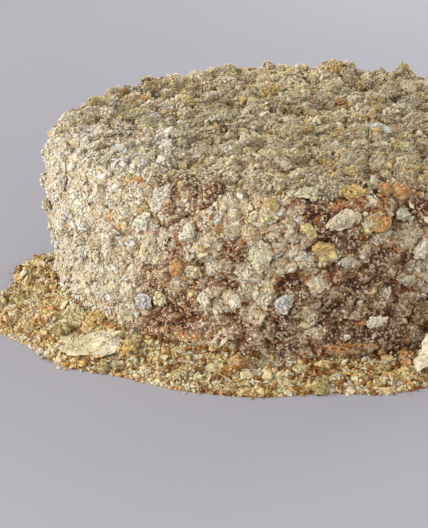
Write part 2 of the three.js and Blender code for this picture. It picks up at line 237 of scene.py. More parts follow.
def surface_at(share, angle):
    """Points of the smooth surface and their outward normals, at shares of the coated area."""
    area = np.clip(share, 0, 1) * COATED_AREA
    r = np.interp(area, PROFILE_AREA, PROFILE_R)
    r = r * (1 + out_of_round(angle) / CAKE_RADIUS * r / CAKE_RADIUS)
    z = np.interp(area, PROFILE_AREA, PROFILE_Z)
    slope = np.interp(area, PROFILE_AREA, PROFILE_SLOPE)
    return polar(angle, r, z), polar(angle, np.sin(slope), np.cos(slope))


def share_at(height):
    return np.interp(-height, -PROFILE_Z, PROFILE_AREA) / COATED_AREA


def on_wall(degrees, height):
    """A point of the smooth surface at an angle and a height, and its outward normal."""
    return surface_at(share_at(height), math.radians(degrees))


def nearness(points, centre, width):
    """1 at a centre, falling off to nothing over about a width."""
    away = np.linalg.norm(points - centre, axis=-1) / (width / 2)
    return np.exp(-(away**2))


def near_wall(points, degrees, height, width):
    return nearness(points, on_wall(degrees, height)[0], width)


def near_top(points, degrees, radius, width):
    return nearness(points, polar(math.radians(degrees), radius, CAKE_HEIGHT), width)


def coat_relief(points):
    """Lumps and hollows of the coat, fading out where the bank touches the wall."""
    relief = 0.9 * lump_noise(points, 24) + 0.8 * lump_noise(points, 12)
    relief += 1.4 * lump_noise(points, 6)
    for hollow in TOP_HOLLOWS:
        relief -= HOLLOW_DEPTH * near_top(points, *hollow)
    for degrees, radius, size in TOP_LUMPS:
        relief += 0.5 * size * near_top(points, degrees, radius, size)
    return smoothstep(points[..., 2], 12, 20) * relief


def nearest_clump(points, cell):
    """How far each point lies inside its clump, and three values from 0 to 1 of that clump."""
    scaled = points / cell
    base = np.floor(scaled)
    first = np.full(scaled.shape[:-1], 9.0)
    second = first.copy()
    values = np.zeros(scaled.shape)
    for step in itertools.product((-1, 0, 1), repeat=3):
        home = base + step
        own = np.stack([lattice_value(*np.moveaxis(home + salt, -1, 0)) for salt in (11, 37, 71)], -1)
        away = np.linalg.norm(scaled - home - own, axis=-1)
        nearer = away < first
        second = np.where(nearer, first, np.minimum(second, away))
        values = np.where(nearer[..., None], own, values)
        first = np.where(nearer, away, first)
    return cell * (second - first), values


def clumps_at(points):
    """The large and the small clump that each point belongs to."""
    return nearest_clump(points, LARGE_CLUMP), nearest_clump(points + 40, SMALL_CLUMP)


def crack_browning_and_painted_shade(clumps, points):
    """Painted shade in cracks, with some browning, and in hollows, which is 1 on the clumps; the whole
    top is darkened as painted shade too.
    """
    large, small = clumps
    # Where this is high, on the lit left of the wall, the painted shade in cracks and hollows is
    # fainter.
    faint_painted_shade = near_wall(points, *FAINT_PAINTED_SHADE)
    crack = 1 - smoothstep(large[0], 0, 0.9) * smoothstep(small[0], 0.05, 0.8)
    crack = crack * (1 - 0.75 * faint_painted_shade)
    hollow = (1 - smoothstep(large[0], 0.2, 2.6)) * (1 - 0.5 * faint_painted_shade)
    top = smoothstep(points[:, 2], CAKE_HEIGHT - 6, CAKE_HEIGHT)[:, None]
    hollow_shade = (1 - top) * WALL_HOLLOW_SHADE + top * TOP_HOLLOW_SHADE
    cracked = 1 - crack[:, None] * (1 - CRACK_BROWNING_AND_SHADE) * (1 - 0.35 * top)
    # The last factor darkens the whole top: painted shade.
    return cracked * (1 - hollow[:, None] * (1 - hollow_shade)) * (1 - 0.34 * top)


def thickly_covered(clumps, cover):
    """The thicker the crumbs lie, the narrower the cracks between their clumps and the painted shade in
    them.
    """
    return [(inside * (1 + 2.4 * cover**3), values) for inside, values in clumps]


def clump_heights(clumps, least, spread, edge):
    """How high clumps stand, each by its own value, sloping down to the cracks over an edge."""
    inside, values = clumps
    return (least + spread * values[..., 0]) * smoothstep(inside, 0, edge)


def clump_relief(points, large, small):
    """How far clumps of crumbs stand proud, with cracks between them."""
    height = clump_heights(large, 0.5, 3.0, 2.6) + clump_heights(small, 0.1, 1.2, 1.0)
    return (height - 1.8) * smoothstep(points[..., 2], 5, 16)


# --- Meshes ---


def add_mesh(name, points, faces, tints=None, smooth=False):
    """An object of triangles or quads from arrays in millimetres, with a colour for each vertex."""
    mesh = bpy.data.meshes.new(name)
    sides = faces.shape[1]
    mesh.vertices.add(len(points))
    mesh.vertices.foreach_set("co", (points * MM).astype(np.float32).ravel())
    mesh.loops.add(faces.size)
    mesh.loops.foreach_set("vertex_index", faces.astype(np.int32).ravel())
    mesh.polygons.add(len(faces))
    mesh.polygons.foreach_set("loop_start", np.arange(0, faces.size, sides, dtype=np.int32))
    mesh.polygons.foreach_set("use_smooth", np.full(len(faces), smooth))
    mesh.update(calc_edges=True)
    if tints is not None:
        layer = mesh.color_attributes.new("tint", "FLOAT_COLOR", "POINT")
        rgba = np.concatenate([tints, np.ones((len(tints), 1))], 1)
        layer.data.foreach_set("color", rgba.astype(np.float32).ravel())
    piece = bpy.data.objects.new(name, mesh)
    bpy.context.scene.collection.objects.link(piece)
    return piece


def dress(piece, material, slot, *nodes):
    """Gives a piece its material and its place in the frame."""
    piece.data.materials.append(material)
    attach(piece, "root")
    if nodes:
        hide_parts(*nodes)


def turned_frames(normals, spin, tip):
    """Rotation matrices that lay pieces on a surface, spun about its normal and then tipped."""
    away = np.where(np.abs(normals[:, 2:]) < 0.9, [[0, 0, 1]], [[1, 0, 0]])
    x = np.cross(away, normals)
    x /= np.linalg.norm(x, axis=1, keepdims=True)
    y = np.cross(normals, x)
    c, s = np.cos(spin)[:, None], np.sin(spin)[:, None]
    x, y = c * x + s * y, c * y - s * x
    c, s = np.cos(tip)[:, None], np.sin(tip)[:, None]
    y, z = c * y + s * normals, c * normals - s * y
    return np.stack([x, y, z], -1)


def circle(corners):
    turn = np.arange(corners) / corners * 2 * math.pi
    return np.stack([np.cos(turn), np.sin(turn), 0 * turn], 1)


def splinter_template():
    """The smallest crumbs: three corners round a top."""
    points = np.concatenate([circle(3) - [0, 0, 0.4], [[0, 0, 1]]])
    return points, np.array([(0, 1, 3), (1, 2, 3), (2, 0, 3), (0, 2, 1)])


def ringed_template(ring, levels):
    """A closed form: rings of points, each of a radius and a height, between a top and a bottom."""
    rings = [radius * circle(ring) + [0, 0, height] for radius, height in levels]
    top = ring * len(levels)
    last = top - ring
    faces = []
    for i in range(ring):
        j = (i + 1) % ring
        faces.append((top, i, j))
        for a in range(0, last, ring):
            b = a + ring
            faces.append((a + i, b + i, b + j))
            faces.append((a + i, b + j, a + j))
        faces.append((last + i, top + 1, last + j))
    return np.concatenate([*rings, [[0, 0, 1], [0, 0, -1]]]), np.array(faces)


# The forms that crumbs are copies of: a splinter, crumbs of four and five sides, and a thin flake.
SPLINTER = splinter_template()
CHIP = ringed_template(4, [(1, 0)])
CHUNK = ringed_template(5, [(1, 0)])
PLATE = ringed_template(5, [(0.85, 1), (1, -1)])


def joined(template, places, frames, sizes, rough, bends, outlines=None):
    """Copies of a template, each with its own place, turn, sizes, two bends and broken outline."""
    points, faces = template
    count, corners = len(places), len(points)
    copies = points[None] * (1 + rough * rng.uniform(-1, 1, (count, corners, 3)))
    if outlines is not None:
        copies[..., :2] *= outlines[..., None]
    copies = copies * sizes[:, None, :] / 2
    bend = bends / sizes[:, None, :1]
    copies[..., 2] += bend[:, 0] * copies[..., 0] ** 2 + bend[:, 1] * copies[..., 1] ** 2
    copies = np.einsum("nij,nkj->nki", frames, copies) + places[:, None, :]
    offsets = np.arange(count)[:, None, None] * corners
    return copies.reshape(-1, 3), (faces[None] + offsets).reshape(-1, 3)


def tinted(colours, corners):
    """One colour for each copy, a little lighter or darker from corner to corner."""
    each = np.repeat(colours[:, None, :], corners, 1)
    return (each * (1 + 0.04 * rng.standard_normal((*each.shape[:2], 1)))).reshape(-1, 3)


def held_back(colours):
    """Colours no brighter than dry pastry, each dimmed without a change of hue."""
    brightest = np.maximum(colours.max(-1, keepdims=True), 0.01)
    return np.maximum(colours, 0.01) * np.minimum(1, BRIGHTEST / brightest)


def picked(weights, draws):
    """The palette colour that each draw from 0 to 1 stands for."""
    total = np.cumsum(weights, 1) / weights.sum(1, keepdims=True)
    index = np.minimum((draws[:, None] > total).sum(1), len(PALETTE) - 1)
    return np.array(list(PALETTE.values()))[index]


def drawn_colours(weights, clumps, places, own):
    """A colour for each crumb: its own, for the share of crumbs that own gives, or its clump's."""
    large, small = clumps
    shared = np.where(small[1][:, 1] < 0.4, small[1][:, 2], large[1][:, 2])
    draws, chance = rng.random((2, len(weights)))
    colours = picked(weights, np.where(chance < own, draws, shared))
    light = 1 + 0.03 * rng.standard_normal(len(weights))
    light += 0.3 * (small[1][:, 0] - 0.5) + 0.35 * (large[1][:, 1] - 0.5)
    # Painted shade darkens crumbs in cracks and hollows, and on the top.
    colours = colours * light[:, None] * crack_browning_and_painted_shade(clumps, places)
    return held_back(colours * (1 + 0.02 * rng.standard_normal(colours.shape)))


# --- Where the coat is pale, and where the brown body shows ---


def paleness(points):
    """From 0, thin over the brown body, to 1, thick with ivory flakes."""
    angle = np.arctan2(points[..., 1], points[..., 0])
    side = 0.58 + 0.26 * np.cos(angle - math.radians(195))
    top = smoothstep(points[..., 2], CAKE_HEIGHT - 10, CAKE_HEIGHT - 2)
    pale = side * (1 - top) + 0.62 * top
    for strength, cell in ((0.16, 26), (0.28, 9), (0.15, 4.5)):
        pale = pale + strength * lump_noise(points, cell)
    for *patch, change in COAT_PATCHES:
        pale = pale + change * near_wall(points, *patch)
    low = 1 - smoothstep(points[..., 2], 4, 26)
    return np.clip(pale - 0.12 * low, 0, 1)


def coverage(points):
    """How much of the body the crumbs hide, from 0 where it is bare to 1."""
    return smoothstep(paleness(points), 0.15, 0.7)


# Shares of the palette's colours, in its order:
# white, ivory, cream, straw, yellow, golden, orange, tan, pink, brown, dark
PALE_MIX = np.array([12, 42, 32, 10, 2, 1, 0, 1, 0, 0, 0])
BROWN_MIX = np.array([7, 27, 24, 13, 2, 3, 3, 6, 5, 8, 8])
WARM_MIX = np.array([0, 2, 4, 6, 8, 26, 34, 6, 6, 6, 2])
TOP_MIX = np.array([1, 8, 24, 44, 10, 7, 1, 5, 0, 0, 0])
BANK_MIX = np.array([0, 5, 27, 29, 25, 15, 1, 1, 0, 0, 0])
GOLDEN_MIX = np.array([0, 2, 6, 14, 24, 42, 8, 4, 0, 0, 0])
FROSTING_MIX = np.array([100, 60, 15, 0, 0, 0, 0, 0, 0, 0, 0])
# The large flakes are seldom brown.
LARGE_LIMIT = np.array([30, 40, 40, 14, 5, 5, 2, 3, 1, 0, 0])


def coat_weights(points):
    """The mix of colours at each point: straw on the top, apart from its pale left shoulder."""
    pale = paleness(points)[:, None]
    shoulder = near_wall(points, *PALE_SHOULDER)[:, None]
    top = smoothstep(points[:, 2:], CAKE_HEIGHT - 6, CAKE_HEIGHT + 0.5) * (1 - 0.85 * shoulder)
    mix = (1 - top) * (pale * PALE_MIX + (1 - pale) * BROWN_MIX) + top * TOP_MIX
    mix = mix + near_wall(points, *FROSTING)[:, None] * FROSTING_MIX
    for spot in TOP_SPOTS:
        near = near_top(points, *spot)[:, None]
        mix = (1 - near) * mix + near * GOLDEN_MIX
    warmth = np.max([near_wall(points, *patch) for patch in WARM_PATCHES], 0)[:, None]
    return (1 - warmth) * mix + warmth * WARM_MIX


# --- Materials ---


class Paint:
    """A material whose nodes are added one by one and joined up to its shader."""

    def __init__(self, name):
        self.material = bpy.data.materials.new(name)
        self.material.use_nodes = True
        self.tree = self.material.node_tree
        self.shader = self.tree.nodes["Principled BSDF"]
        self.place = self.add("TexCoord").outputs["Object"]

    def add(self, kind, **settings):
        """A new node, with settings of its own or of its sockets."""
        node = self.tree.nodes.new("ShaderNode" + kind)
        for key, value in settings.items():
            if hasattr(node, key):
                setattr(node, key, value)
            else:
                node.inputs[key].default_value = value
        return node

    def link(self, source, target):
        self.tree.links.new(source, target)

    def texture(self, kind, **settings):
        """A texture that keeps its place on the object."""
        node = self.add("Tex" + kind, **settings)
        self.link(self.place, node.inputs["Vector"])
        return node

    def mixed(self, factor, first, second, blend="MIX"):
        """A mix of two colours. Each value is a socket, a number or three numbers."""
        mix = self.add("Mix", data_type="RGBA", blend_type=blend)
        for index, value in ((0, factor), (6, first), (7, second)):
            socket = mix.inputs[index]
            if isinstance(value, bpy.types.NodeSocket):
                self.link(value, socket)
            else:
                socket.default_value = (*value, 1) if isinstance(value, tuple) else value
        return mix.outputs[2]

    def ramp(self, source, *stops):
        """A colour ramp's output, from stops of a place and a grey value or a colour."""
        node = self.add("ValToRGB")
        elements = node.color_ramp.elements
        while len(elements) < len(stops):
            elements.new(1)
        for element, (place, value) in zip(elements, stops):
            element.position = place
            element.color = (*value, 1) if isinstance(value, tuple) else (value, value, value, 1)
        self.link(source, node.inputs[0])
        return node.outputs[0]

    def finished(self, colour, relief, strength, depth, roughness, specular):
        """The material, with bumps from a relief. Light goes in for about a millimetre."""
        inputs = self.shader.inputs
        bump = self.add("Bump", Strength=strength, Distance=depth)
        self.link(relief, bump.inputs["Height"])
        self.link(bump.outputs[0], inputs["Normal"])
        self.link(colour, inputs["Base Color"])
        inputs["Roughness"].default_value = roughness
        inputs["Specular IOR Level"].default_value = specular
        inputs["Subsurface Weight"].default_value = 0.7
        inputs["Subsurface Radius"].default_value = (1.0, 0.75, 0.5)
        inputs["Subsurface Scale"].default_value = 0.0012
        return self.material


def crumb_material(name, toast=0.35, blister=900):
    """Dry baked pastry: each crumb's own colour, mottled, toasted in places and finely rough."""
    paint = Paint(name)
    tint = paint.add("Attribute", attribute_name="tint").outputs["Color"]
    mottle = paint.texture("Noise", Scale=blister * 0.6, Detail=3, Roughness=0.6)
    toasting = paint.texture("Noise", Scale=330, Detail=4, Roughness=0.65)
    grain = paint.texture("Noise", Scale=blister * 2.2, Detail=3, Roughness=0.7)
    lighter = paint.ramp(mottle.outputs[0], (0.3, 0.88), (0.7, 1.0))
    colour = paint.mixed(1.0, tint, lighter, "MULTIPLY")
    toasted = paint.mixed(1.0, tint, (0.72, 0.5, 0.3), "MULTIPLY")
    where = paint.ramp(toasting.outputs[0], (0.52, 0), (0.68, toast))
    colour = paint.mixed(where, colour, toasted)
    return paint.finished(colour, grain.outputs[0], 0.25, 0.00025, roughness=0.9, specular=0.2)


def body_material():
    """The body between the crumbs: cream, soaked pastry and fine specks of crumb dust."""
    paint = Paint("body_cream_and_pastry")
    tint = paint.add("Attribute", attribute_name="tint").outputs["Color"]
    cells = paint.texture("Voronoi", Scale=1000)
    fine = paint.texture("Noise", Scale=1500, Detail=3, Roughness=0.7)
    parts = paint.add("SeparateColor")
    paint.link(cells.outputs["Color"], parts.inputs[0])
    shade = paint.ramp(parts.outputs[1], (0.0, 0.6), (0.6, 1.0), (1.0, 1.25))
    colour = paint.mixed(1.0, tint, shade, "MULTIPLY")
    specks = paint.ramp(parts.outputs[0], (0.7, 0), (0.8, 0.7))
    colour = paint.mixed(specks, colour, (0.60, 0.48, 0.31))
    dark = paint.ramp(fine.outputs[0], (0.35, 0.6), (0.6, 1.0))
    colour = paint.mixed(1.0, colour, dark, "MULTIPLY")
    return paint.finished(colour, parts.outputs[2], 0.9, 0.0006, roughness=0.7, specular=0.3)


# --- The cake's body ---


def body_colours(points, clumps):
    """Brown cream and pastry: redder in places, paler under a thick coat, darker in cracks, partly
    browning and partly painted shade, and with painted shade in hollows and on the top.
    """
    cover = coverage(points)
    covered = cover[:, None]
    redness = 0.3 + 0.3 * lump_noise(points + 70, 22) + 0.6 * near_wall(points, *REDDEST)
    redness = np.clip(redness, 0, 1)[:, None]
    bare = (1 - redness) * BARE_BODY + redness * RED_BODY
    colours = bare * (1 - covered) + covered * COVERED_BODY
    return colours * crack_browning_and_painted_shade(thickly_covered(clumps, cover), points)


def even_net(cells):
    """Directions spread evenly over a sphere, and triangles: each of 20 faces is cut into cells."""
    ball = bmesh.new()
    bmesh.ops.create_icosphere(ball, subdivisions=1, radius=1)
    corners = np.array([[v.co[:] for v in f.verts] for f in ball.faces])
    ball.free()
    i, j = np.indices((cells + 1, cells + 1)).reshape(2, -1)
    inside = i + j <= cells
    i, j = i[inside], j[inside]
    index = np.full((cells + 2, cells + 2), -1)
    index[i, j] = np.arange(len(i))
    upward = np.stack([index[i, j], index[i + 1, j], index[i, j + 1]], 1)
    downward = np.stack([index[i + 1, j], index[i + 1, j + 1], index[i, j + 1]], 1)
    triangles = np.concatenate([upward, downward])
    triangles = triangles[(triangles >= 0).all(1)]
    weights = np.stack([cells - i - j, i, j], 1) / cells
    points = (weights @ corners).reshape(-1, 3)
    faces = (triangles[None] + np.arange(len(corners))[:, None, None] * len(i)).reshape(-1, 3)
    _, first, merged = np.unique(np.round(points, 6), axis=0, return_index=True, return_inverse=True)
    points = points[first]
    return points / np.linalg.norm(points, axis=1, keepdims=True), merged.reshape(-1)[faces]


def build_body():
    """An even net of triangles, drawn out to the cake's form and roughened. Gives the coat's ground."""
    directions, faces = even_net(BODY_CELLS)
    angle = np.arctan2(directions[:, 1], directions[:, 0])
    share = (1 - directions[:, 2]) / 2
    points, normals = surface_at(share / COATED_SHARE, angle)
    clumps = clumps_at(points)
    crags = 0.7 * lump_noise(points, 2.6) + 0.4 * lump_noise(points, 1.5) - 0.7
    crags = crags * smoothstep(points[:, 2], 1, 8)
    relief = coat_relief(points) + clump_relief(points, *clumps) + crags
    colours = body_colours(points, clumps)
    level = points.copy()
    points = points + normals * relief[:, None]
    under = share > COATED_SHARE
    inward = ((1 - share[under]) / (1 - COATED_SHARE)) ** 0.5
    points[under, :2] *= inward[:, None]
    points[under, 2] = 0
    body = add_mesh("cake_body", points, faces, colours, smooth=True)
    dress(body, body_material(), "crumb_coat", "cake")
    coated = faces[points[faces][..., 2].min(1) > COAT_FOOT]
    centres = level[coated].mean(1)
    return Ground(points, coated, centres, coat_weights(centres), coverage(centres))


# --- Crumbs, each kind joined into one mesh ---


def triangle_normals(points, faces):
    """The normals of triangles, as long as twice their areas."""
    corners = points[faces]
    return np.cross(corners[:, 1] - corners[:, 0], corners[:, 2] - corners[:, 0])


class Ground:
    """A bumpy surface that crumbs lie on: its triangles, and what the crumbs on each are like, painted
    light and shade included.
    """

    def __init__(self, points, faces, centres, mixes, cover):
        normals = triangle_normals(points, faces)
        self.area = np.linalg.norm(normals, axis=1)
        self.normals = normals / np.maximum(self.area, 1e-9)[:, None]
        self.corners = points[faces]
        self.clumps = thickly_covered(clumps_at(centres), cover)
        # Random tone, with painted light on the left shoulder and the back of the top, and painted shade
        # in the top's hollows.
        self.shade = 1 + 0.24 * lump_noise(centres + 30, 13) + 0.12 * lump_noise(centres + 60, 32)
        self.shade += 0.4 * near_wall(centres, *PAINTED_LIGHT_SHOULDER)
        self.shade += 0.45 * near_top(centres, *PAINTED_LIGHT_BACK)
        for degrees, radius, width in TOP_HOLLOWS:
            self.shade -= 0.3 * near_top(centres, degrees, radius, 1.5 * width)
        self.mixes = mixes
        self.cover = cover

    def strewn(self, count, least=1.0, own=0.25):
        """Crumbs' places, normals, colours and scale. least is the share that lies on bare ground."""
        face, places = drawn_places(self.area * (least + (1 - least) * self.cover), self.corners, count)
        clumps = [(inside[face], values[face]) for inside, values in self.clumps]
        own = own + 0.45 * (1 - self.cover[face])
        colours = drawn_colours(self.mixes[face], clumps, places, own) * self.shade[face, None]
        return places, self.normals[face], held_back(colours), 0.8 + 0.3 * self.cover[face]


def drawn_places(chances, corners, count):
    """Triangles drawn by their chances, and a random place on each."""
    total = np.cumsum(chances)
    draws = (np.arange(count) + rng.random(count)) / count * total[-1]
    face = np.minimum(np.searchsorted(total, draws), len(total) - 1)
    return face, np.einsum("nc,ncx->nx", rng.dirichlet((1, 1, 1), count), corners[face])


def strewn_over(points, faces, tints, count):
    """Crumbs' places, normals, colours and scale over a mesh whose colours they take on."""
    normals = triangle_normals(points, faces)
    area = np.linalg.norm(normals, axis=1)
    face, places = drawn_places(area, points[faces], count)
    colours = tints[faces[face, 0]] * (1 + 0.2 * rng.standard_normal((count, 1)))
    return places, normals[face] / area[face][:, None], held_back(colours), np.ones(count)


def grid_quads(index):
    """A face of four corners for each cell of a grid of vertex numbers."""
    cells = [index[:-1, :-1], index[1:, :-1], index[1:, 1:], index[:-1, 1:]]
    return np.stack(cells, -1).reshape(-1, 4)


def halved(quads):
    """Two triangles for each face of four corners."""
    return np.concatenate([quads[:, [0, 1, 2]], quads[:, [0, 2, 3]]])


def plain_ground(points, faces, mix):
    """Ground with the same mix and the same thick cover of crumbs all over."""
    cover = np.full(len(faces), 0.8)
    return Ground(points, faces, points[faces].mean(1), np.repeat([mix], len(faces), 0), cover)


def crumb_piece(
    name, slot, where, size, lift, tip, template=CHIP, flat=(0.3, 0.7), rough=0.4, jagged=0, curl=0
):
    """Crumbs of one kind at given places: their sizes, lift, tip, flatness and broken shape."""
    places, normals, colours, scale = where
    count = len(places)
    length = scale * (size[0] + (size[1] - size[0]) * rng.random(count) ** 2)
    shape = [np.ones(count), rng.uniform(0.45, 0.95, count), rng.uniform(*flat, count)]
    places = places + normals * rng.uniform(*lift, count)[:, None]
    frames = turned_frames(normals, rng.uniform(0, 2 * math.pi, count), tip * rng.standard_normal(count))
    outlines = None
    if jagged:
        reach = 1 + jagged * rng.uniform(-1, 1, (count, len(template[0]) // 2 - 1))
        outlines = np.concatenate([reach, reach, np.ones((count, 2))], 1)
    sizes = length[:, None] * np.stack(shape, 1)
    bends = curl * rng.uniform(-1, 1, (count, 2, 1))
    points, faces = joined(template, places, frames, sizes, rough, bends, outlines)
    points[:, 2] = np.maximum(points[:, 2], LOWEST)
    tints = tinted(colours, len(template[0]))
    piece = add_mesh(name, points, faces, tints, smooth=not jagged)
    dress(piece, crumb_material(name + "_pastry"), slot)


# --- The coat of crumbs and flakes ---


def build_coat(ground):
    """Crumbs from dust to flakes, and the browner lumps on the side."""
    crumb_piece(
        "coat_dust", "crumb_coat", ground.strewn(45500, 0.8, 0.06), template=SPLINTER,
        size=(1.0, 2.0), flat=(0.5, 0.9), lift=(-0.1, 0.3), tip=0.4, rough=0.3,
    )
    crumb_piece(
        "coat_grains", "crumb_coat", ground.strewn(24500, 0.6, 0.15),
        size=(1.1, 2.6), lift=(-0.1, 0.6), tip=0.55,
    )
    crumb_piece(
        "coat_crumbs", "crumb_coat", ground.strewn(6500, 0.4, 0.15),
        size=(1.8, 3.6), flat=(0.2, 0.5), lift=(0.0, 0.7), tip=0.6, rough=0.45,
    )
    crumb_piece(
        "coat_flakes", "crumb_coat", ground.strewn(1800, 0.15, 0.1), template=PLATE,
        size=(2.4, 5.0), flat=(0.15, 0.3), lift=(0.0, 0.6), tip=0.3, rough=0.2, jagged=0.45, curl=0.4,
    )
    walls = [on_wall(degrees, height) for degrees, height, *_ in SIDE_LUMPS]
    build_lumps("coat_lumps", "crumb_coat", walls, SIDE_LUMPS)


def build_lumps(name, slot, grounds, lumps):
    """Lumps of crumbs, each a low dome on its ground, which is given by a place and a normal."""
    each = 130
    out = rng.standard_normal((len(lumps), each, 3))
    out[..., 2] = np.abs(out[..., 2])
    out /= np.linalg.norm(out, axis=2, keepdims=True)
    normals = np.array([normal for _, normal in grounds])
    frames = turned_frames(normals, np.zeros(len(lumps)), np.zeros(len(lumps)))
    half = np.array([(length / 2, width / 2, width / 3) for _, _, length, width, _ in lumps])
    places = np.einsum("nij,nkj->nki", frames, out * half[:, None]) + [[point] for point, _ in grounds]
    domes = np.einsum("nij,nkj->nki", frames, out)
    pale = 0.35 * rng.random((len(lumps), each, 1)) ** 2
    colours = np.array([[colour] for *_, colour in lumps]) * (1 - pale) + pale * PALETTE["cream"]
    # Crumbs low on each dome are darker: painted shade at the lump's foot.
    colours = colours * (0.75 + 0.3 * out[..., 2:]) * (1 + 0.1 * rng.standard_normal(pale.shape))
    where = [array.reshape(-1, 3) for array in (places, domes, held_back(colours))]
    crumb_piece(
        name, slot, (*where, np.ones(len(lumps) * each)),
        size=(1.8, 4.0), flat=(0.3, 0.6), lift=(-0.5, 0.2), tip=0.4, rough=0.45,
    )


def angular_outline(count, ring, least):
    """How far a ring of points lies out on some outlines with six corners and straight edges."""
    corners = 6
    reach = rng.uniform(least, 1, (count, corners))
    turn = np.arange(ring) / ring * corners
    before = turn.astype(int)
    first, last = reach[:, before], reach[:, (before + 1) % corners]
    width = 2 * math.pi / corners
    share = (turn - before) * width
    edge = first * last * math.sin(width) / (first * np.sin(share) + last * np.sin(width - share))
    return edge * (1 + 0.05 * rng.standard_normal((count, ring)))


def stacked_sheets(places, normals, sizes, colours):
    """Large flakes, each of three thin sheets that lie a little askew on one another."""
    ring, sheets, count = 16, 3, len(places)
    levels = [(0.6, 1), (1, 0.5), (1, -0.5), (0.6, -1)]
    template = ringed_template(ring, levels)
    spin = rng.uniform(0, 2 * math.pi, count)
    tip = rng.uniform(-0.3, 0.3, count)
    bends = 0.5 * rng.uniform(-1, 1, (count, 2, 1))
    meshes, tints = [], []
    for sheet in range(sheets):
        share = 1 - 0.18 * sheet
        frames = turned_frames(normals, spin + rng.uniform(-0.2, 0.2, count), tip)
        out = (sheet - 1) * sizes[:, 2] / sheets
        aside = rng.uniform(-0.12, 0.12, (count, 2)) * sizes[:, :2] * sheet
        middle = places + normals * out[:, None] + np.einsum("nij,nj->ni", frames[:, :, :2], aside)
        outlines = 1.2 * angular_outline(count, ring, 0.4)
        outlines = np.concatenate([np.tile(outlines, (1, len(levels))), np.ones((count, 2))], 1)
        sheet_sizes = sizes * np.array([share, share, 0.8 / sheets])
        points, faces = joined(template, middle, frames, sheet_sizes, 0.03, bends, outlines)
        meshes.append((points, faces + sheet * len(points)))
        tints.append(tinted(0.95 * colours * rng.uniform(0.85, 1.05, (count, 1)), len(template[0])))
    points, faces = (np.concatenate(part) for part in zip(*meshes))
    blisters = 0.5 * lump_noise(points, 2.4) + 0.2 * lump_noise(points + 9, 0.9)
    outward = np.tile(np.repeat(normals, len(template[0]), 0), (sheets, 1))
    return points + outward * blisters[:, None], faces, np.concatenate(tints)


def build_large_flakes():
    """The flakes that the part's solid has too, in the same places, as broken pastry."""
    placed = []
    for degrees, height, length, width, colour in SIDE_FLAKES:
        point, normal = on_wall(degrees, height)
        point = point + (coat_relief(point[None])[0] + 1.3) * normal
        placed.append((point, normal, (length, width, 2.0), PALETTE[colour]))
    count = SPREAD_FLAKES
    steps = np.arange(count)
    share = (steps + 0.5) / count * share_at(22)
    points, outward = surface_at(share, steps * GOLDEN_ANGLE)
    points = points + outward * (coat_relief(points) + 0.9)[:, None]
    length = rng.uniform(6.5, 12, count)
    width = length * rng.uniform(0.5, 0.85, count)
    sizes = np.stack([length, width, rng.uniform(1.2, 2, count)], 1)
    mixes = np.minimum(coat_weights(points), LARGE_LIMIT)
    # They lie on top of the clumps, so no painted shade of cracks or hollows darkens them.
    clumps = [(np.full(count, LARGE_CLUMP), values) for _, values in clumps_at(points)]
    spread = (points, outward, sizes, drawn_colours(mixes, clumps, points, 0.5))
    flakes = [np.concatenate(parts) for parts in zip(zip(*placed), spread)]
    mesh_points, faces, tints = stacked_sheets(*flakes)
    piece = add_mesh("large_flakes", mesh_points, faces, tints)
    dress(piece, crumb_material("large_flakes_pastry", blister=600), "crumb_coat")
    # Dust lies on the faces that look outward, or up where they are on the top.
    centres = mesh_points[faces].mean(1)
    outward = centres * [1, 1, 0] + [0, 0, 200] * (centres[:, 2:] > CAKE_HEIGHT - 5)
    facing = faces[(triangle_normals(mesh_points, faces) * outward).sum(1) > 0]
    crumb_piece(
        "flake_dust", "crumb_coat", strewn_over(mesh_points, facing, tints, 4000),
        size=(1.0, 3.2), lift=(-0.1, 0.6), tip=0.8,
    )


def layer_edge(degrees, sweep, height):
    """One bare edge: two thin layers of pastry, broken in places. Rows of points, and their tints."""
    steps, levels = 80, 11
    share = np.linspace(0, 1, steps)[:, None]
    along = degrees + sweep * share
    level = np.linspace(-1, 1, levels)[None, :]
    taper = np.sin(share * math.pi) ** 0.4
    z = height + 2.3 * level * taper + 0.5 * np.sin(0.9 * along) + 0.3 * np.sin(2.3 * along)
    base, normal = surface_at(share_at(z), np.radians(along) + 0 * z)
    broken = smoothstep(lump_noise(base, 3.4), -0.3, 0.4)
    layers = 0.5 * np.abs(np.sin(1.5 * math.pi * level))
    out = taper * (broken * (1.1 + layers) * np.sqrt(1 - 0.8 * level**2) - 0.4)
    crags = coat_relief(base) + 0.4 * lump_noise(base, 1.7) + 0.3 * lump_noise(base, 0.9)
    sheet = base + normal * (out + crags)[..., None]
    tone = 0.45 + 0.55 * lump_noise(base, 4)[..., None] + 0.5 * layers[..., None]
    tints = tone * np.array([0.60, 0.34, 0.16]) + (1 - tone) * np.array([0.28, 0.13, 0.06])
    tints = np.clip(tints, 0.03, 0.8)
    back = (base - 2 * normal)[:, ::-1]
    return np.concatenate([sheet, back], 1), np.concatenate([tints, tints[:, ::-1]], 1)


def build_layer_edges():
    """Browned edges of pastry layers that break through the coat, with a few crumbs on them."""
    points, tints = (np.stack(part) for part in zip(*(layer_edge(*edge) for edge in BARE_EDGES)))
    index = np.arange(points.size // 3).reshape(points.shape[:3])
    quads = np.stack([grid_quads(np.pad(arc, ((0, 0), (0, 1)), "wrap")) for arc in index])
    around = index.shape[2]
    front = quads.reshape(-1, around, 4)[:, : around // 2 - 1].reshape(-1, 4)
    points = points.reshape(-1, 3)
    piece = add_mesh("layer_edges", points, quads.reshape(-1, 4), tints.reshape(-1, 3))
    dress(piece, crumb_material("layer_edges_pastry", toast=0.6), "crumb_coat")
    ground = plain_ground(points, halved(front), 0.5 * WARM_MIX + 0.5 * BROWN_MIX)
    crumb_piece(
        "edge_crumbs", "crumb_coat", ground.strewn(800), size=(0.8, 2.4), lift=(-0.1, 0.4), tip=0.8
    )


